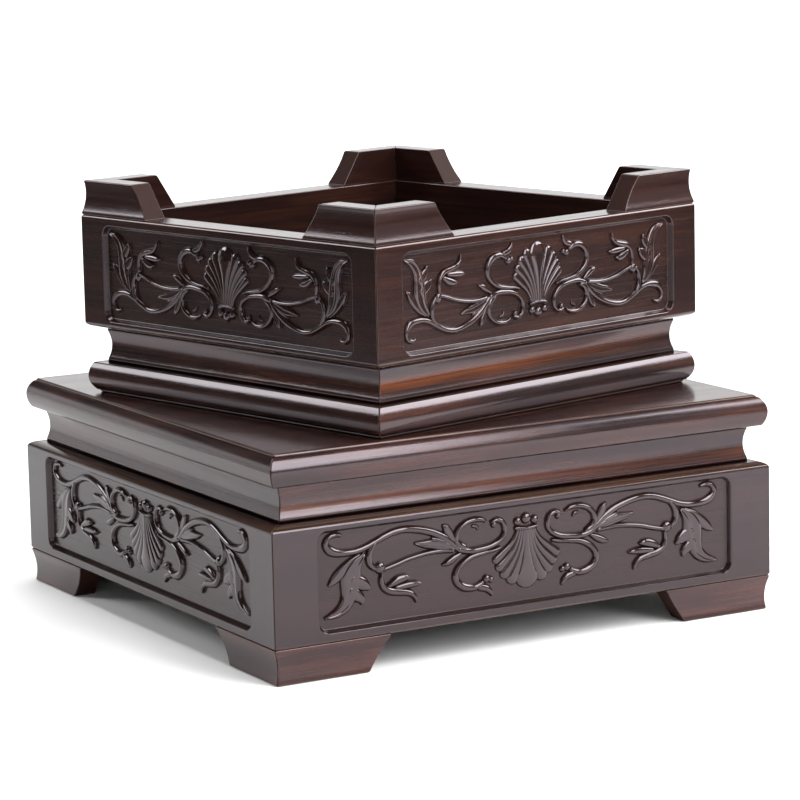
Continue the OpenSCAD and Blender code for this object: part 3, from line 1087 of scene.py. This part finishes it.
@dataclass
class Joiner:
    """Makes a stand's boards into pieces, dresses them and seats them on the stand's body."""

    stand: Stand
    finishes: dict[Finish, bpy.types.Material]
    figures: dict[str, Figure]
    count: int = 0

    def mark(self, mesh: bpy.types.Mesh, boards: list[Board], local: Array, figure: Figure) -> None:
        """Writes what the finish reads onto a mesh's points.

        Args:
            mesh: mesh to write to.
            boards: its grids.
            local: its points in mm, before they are put in place.
            figure: how it is figured.
        """
        grain = mesh.attributes.new("grain", "FLOAT_VECTOR", "POINT")
        grain.data.foreach_set("vector", (local + self.count * GRAIN_STEP).astype(np.float32).ravel())
        shares = {key: np.concatenate([getattr(board, key).ravel() for board in boards])
                  for key in ("worn", "dull")}
        shares["figured"] = np.full(len(local), figure.brown)
        shares["streak"] = figure.streak(local[:, 0], local[:, 2])
        for key, values in shares.items():
            mesh.attributes.new(key, "FLOAT", "POINT").data.foreach_set("value", values.astype(np.float32))

    def mesh(self, name: str, boards: list[Board], side: Side, figure: Figure) -> bpy.types.Mesh:
        """Makes one mesh of boards. The faces of an inverted stand are turned round, to face out.

        Args:
            name: name of the mesh.
            boards: its grids.
            side: side that it belongs to.
            figure: how it is figured.

        Returns:
            The mesh, in its place.
        """
        stand = self.stand
        grids = [np.stack([board.x, board.back - stand.width / 2, board.z], 2).reshape(-1, 3)
                 for board in boards]
        local = np.vstack(grids)
        starts = np.cumsum([0] + [len(grid) for grid in grids])
        parts = [board.faces() for board in boards]
        quads = np.vstack([quad + start for (quad, _), start in zip(parts, starts)])
        caps = [cap + start for (_, ends), start in zip(parts, starts) for cap in ends]
        faces = quads.tolist() + [cap.tolist() for cap in caps]
        if stand.placement.top is not None:
            faces = [face[::-1] for face in faces]
        mesh = bpy.data.meshes.new(name)
        mesh.from_pydata(stand.placement.put(local, side).tolist(), [], faces, shade_flat=False)
        mesh.polygons.foreach_set("use_smooth", np.arange(len(faces)) < len(quads))
        self.mark(mesh, boards, local, figure)
        mesh.update()
        return mesh

    def add(self, name: str, boards: list[Board], side: Side, node: str,
            finish: Finish = Finish.BLACKWOOD) -> None:
        """Turns boards into one piece that stands for a node, and seats it on the stand's body.

        Args:
            name: name of the piece.
            boards: its grids.
            side: side that it belongs to.
            node: node that it replaces.
            finish: finish that it takes.
        """
        self.count += 1
        figure = self.figures.get(node, self.figures[node.split("_")[0]])
        mesh = self.mesh(name, boards, side, figure)
        mesh.materials.append(self.finishes[finish])
        piece = new_object(name, mesh)
        piece.modifiers.new("even_shading", "WEIGHTED_NORMAL").keep_sharp = True
        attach(piece, self.stand.body)
        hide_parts(self.stand.node(node))
        log.info("%s: %d faces, stands for %s", name, len(mesh.polygons), self.stand.node(node))

    def build(self, carving: Carving, shifts: dict[Side, float]) -> None:
        """Makes the panel, and the rail, waist, apron and foot wings of each side.

        Args:
            carving: ornament of the aprons.
            shifts: how far each side's ornament is cut off the middle, in mm.
        """
        stand = self.stand
        self.add(f"lay_in_panel_{stand.name}", [stand.panel()], Side.FRONT, "top_panel")
        rail, waist, apron = stand.rail(), stand.waist(), stand.apron()
        wings = {end: stand.wing(end) for end in End}
        for side in Side:
            at = f"{stand.name}_{side.label}"
            self.add(f"round_nosed_rail_{at}", [rail], side, f"top_rail_{side.label}")
            self.add(f"coved_waist_{at}", [waist], side, f"waist_{side.label}")
            relief = stand.relief(carving, shifts.get(side, 0.0))
            self.add(f"carved_apron_{at}", [apron] + relief, side, f"apron_{side.label}")
            for end, wing in wings.items():
                corner = CORNERS[(side.value + end.value) % len(CORNERS)]
                self.add(f"bracket_wing_{stand.name}_{corner}_{side.label}", [wing], side,
                         f"foot_{corner}_{side.label}_wing", Finish.RED_BLACKWOOD)


def dress_inner_pieces(stand: Stand) -> None:
    """Gives the battens, blocks, splines, keys and pins their bare woods.

    Args:
        stand: stand whose inner pieces are dressed.
    """
    name, turn = stand.name, stand.placement.turn
    hardwood = PlanedWood(f"planed_hardwood_{name}", dark="#4a3020", light="#6b4a30", turn=turn).material()
    bamboo = PlanedWood(f"split_bamboo_{name}", dark="#a8843f", light="#cfae6c", turn=turn).material()
    inner = ["cross_batten", "rail_splines", "apron_keys"] + [f"glue_block_{corner}" for corner in CORNERS]
    for piece, finish in [(piece, hardwood) for piece in inner] + [("foot_pins", bamboo)]:
        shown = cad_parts[stand.node(piece)]
        shown.data.materials.clear()
        shown.data.materials.append(finish)
        log.info("%s: %s", stand.node(piece), finish.name)


@dataclass(frozen=True)
class SoftBox:
    """A soft box: its centre, the point that it faces and its width and height in metres, its power in watts,
    and the angle in degrees that its grid lets out.
    """

    name: str
    place: tuple[float, float, float]
    aim: tuple[float, float, float]
    size: tuple[float, float]
    watts: float
    spread: float = 180.0

    def hang(self) -> None:
        """Adds the box to the scene."""
        light = bpy.data.lights.new(self.name, "AREA")
        light.shape = "RECTANGLE"
        light.size, light.size_y = self.size
        light.energy = self.watts
        light.spread = math.radians(self.spread)
        box = new_object(self.name, light)
        box.location = self.place
        box.rotation_euler = (Vector(self.aim) - Vector(self.place)).to_track_quat("-Z", "Y").to_euler()


@dataclass(frozen=True)
class Studio:
    """White papers on a grey studio floor, soft boxes, and the camera at the photograph's viewing angle."""

    camera_mm: tuple[float, float, float] = (-610.117, -1093.713, 287.305)
    yaw: float = 29.386
    pitch: float = -9.735
    roll: float = -1.304
    focal_px: float = 3472.954
    frame_px: float = 800.0
    sensor_mm: float = 36.0
    paper: str = "#f4f4f4"
    grey: str = "#484848"
    matt: float = 0.9
    room_light: float = 0.08

    def sheet(self, name: str, colour: str, half: float, reach: tuple[float, float], drop: float) -> None:
        """Lays a matt sheet along the view's line.

        Args:
            name: name of the sheet.
            colour: its sRGB colour.
            half: half its width in metres.
            reach: where it begins and ends beyond the stands, in metres.
            drop: how far it lies under the soles, in metres.
        """
        near, far = reach
        corners = [self.spot(*at, -drop) for at in ((-half, near), (half, near), (half, far), (-half, far))]
        mesh = bpy.data.meshes.new(name)
        mesh.from_pydata(corners, [], [(0, 1, 2, 3)])
        paint, shader = new_material(f"matt_{name}")
        shader.inputs["Base Color"].default_value = linear(colour)
        shader.inputs["Roughness"].default_value = self.matt
        mesh.materials.append(paint)
        new_object(name, mesh)

    def floor(self) -> None:
        """Lays white paper under, behind and before the stands, each sheet a hair under the last, on grey.

        The polish mirrors the papers white and the grey floor dark.
        """
        self.sheet("table_paper", self.paper, half=0.48, reach=(-0.7, 1.3), drop=0.0001)
        self.sheet("backdrop_paper", self.paper, half=4.0, reach=(0.27, 9.0), drop=0.0002)
        self.sheet("front_paper", self.paper, half=1.3, reach=(-2.2, -0.27), drop=0.0003)
        self.sheet("studio_floor", self.grey, half=9.0, reach=(-9.0, 9.0), drop=0.002)

    def spot(self, beside: float, beyond: float, up: float) -> tuple[float, float, float]:
        """A place in metres, from its distances to the right of the view's line, along it, and up."""
        cos, sin = math.cos(math.radians(self.yaw)), math.sin(math.radians(self.yaw))
        return (beside * cos + beyond * sin, beyond * cos - beside * sin, up)

    def boxes(self) -> list[SoftBox]:
        """Soft boxes round the stands, and the lit walls and backdrop that the polish mirrors.

        Returns:
            The boxes. All but the front one are placed along the view's line.
        """
        middle = self.spot(0, 0, 0.08)
        spot = self.spot
        return [
            # Mirrored in the upper stand's front rail
            SoftBox("right_box", spot(1.03, 0.18, 0.76), middle, size=(0.85, 0.56), watts=18.5),
            # Square to the lower stand's front, and mirrored in the left half of its rail
            SoftBox("front_box", (0.225, -0.728, 0.492), (0.225, 0.039, -0.149), size=(0.4, 0.74), watts=10),
            # Small, so that the lower stand's left rail doesn't mirror it
            SoftBox("left_box", spot(-1.1, 0.19, 0.65), middle, size=(0.42, 0.5), watts=6),
            # Over the papers, where the polish doesn't mirror it
            SoftBox("top_box", spot(-0.1, 0.1, 1.7), spot(-0.1, 0.1, 0), size=(0.7, 0.7), watts=20),
            # From the camera's side, to lift the shade a little
            SoftBox("front_fill", spot(0, -1.7, 0.7), spot(0, 0, 0), size=(1.2, 1.2), watts=6),
            # Pale walls of the room
            SoftBox("wall_right", spot(2.2, -0.8, 0.62), spot(0, 0, 0.3), size=(2.6, 1.24), watts=4),
            SoftBox("wall_left", spot(-2.2, 2.0, 0.33), spot(0, 0, 0.3), size=(3.0, 0.66), watts=7),
            SoftBox("wall_behind", spot(0, 4.6, 1.25), spot(0, 0, 1.25), size=(6.0, 2.5), watts=60),
            # White for the paper behind
            SoftBox("backdrop_wash", spot(0, 3.1, 1.9), spot(0, 3.1, 0), size=(2.6, 3.0), watts=110,
                    spread=100),
        ]

    def light(self) -> None:
        """Hangs the boxes and leaves the room dim."""
        for box in self.boxes():
            box.hang()
        world = bpy.data.worlds.new("dim_room")
        bpy.context.scene.world = world
        world.use_nodes = True
        world.node_tree.nodes["Background"].inputs["Color"].default_value = (1, 1, 1, 1)
        world.node_tree.nodes["Background"].inputs["Strength"].default_value = self.room_light
        bpy.context.scene.view_settings.view_transform = "Standard"

    def camera(self) -> None:
        """Sets the camera: yaw from +Y towards +X, pitch up, then a small roll about the view."""
        yaw, pitch, roll = (math.radians(angle) for angle in (self.yaw, self.pitch, self.roll))
        ahead = Vector((math.sin(yaw) * math.cos(pitch), math.cos(yaw) * math.cos(pitch), math.sin(pitch)))
        right = Vector((math.cos(yaw), -math.sin(yaw), 0))
        up = right.cross(ahead)
        across = right * math.cos(roll) + up * math.sin(roll)
        upright = up * math.cos(roll) - right * math.sin(roll)
        data = bpy.data.cameras.new("photo_view")
        data.sensor_width = self.sensor_mm
        data.lens = self.focal_px * self.sensor_mm / self.frame_px
        eye = new_object("photo_view", data)
        turned = Matrix((across, upright, -ahead)).transposed()
        eye.matrix_world = Matrix.Translation(Vector(self.camera_mm) * MM) @ turned.to_4x4()
        bpy.context.scene.camera = eye


def main() -> None:
    """Builds the studio and both stands."""
    logging.basicConfig(level=logging.INFO, format="%(name)s: %(message)s")
    studio = Studio()
    studio.camera()
    studio.floor()
    studio.light()
    finishes = {
        Finish.BLACKWOOD: Blackwood("waxed_blackwood").material(),
        Finish.RED_BLACKWOOD: Blackwood("waxed_red_blackwood", heart="#1e0f0c", brown="#4a261c").material(),
    }
    plain = {"top": Figure(0.45), "waist": Figure(0.6), "foot": Figure(0.6)}
    figures = {
        "lower": plain | {
            "apron": Figure(0.1), "top_rail_front": Figure(0.6),
            "waist_front": Figure(0.6, height=58.5, half=1.6, strength=0.3,
                                  start=-10.0, swing=0.8, wave=40.0)},
        "upper": plain | {
            "apron": Figure(0.22), "foot": Figure(0.12),
            "waist_front": Figure(0.4, height=59.5, half=1.9, strength=0.35,
                                  start=-70.0, swing=1.6, wave=45.0)},
    }
    shifts = {Side.FRONT: -1.2}
    lower = measured("lower", turn=0.0, upright=True, field_end=16.8, foot_l=44.5)
    upper = measured("upper", turn=13.6, upright=False, field_end=12.0, foot_l=37.0)
    upper = replace(upper, carve_middle=0.9, carve_rise=-2.4)
    for stand in (lower, upper):
        Joiner(stand, finishes, figures[stand.name]).build(Carving(), shifts)
        dress_inner_pieces(stand)


if __name__ == "__main__":
    main()
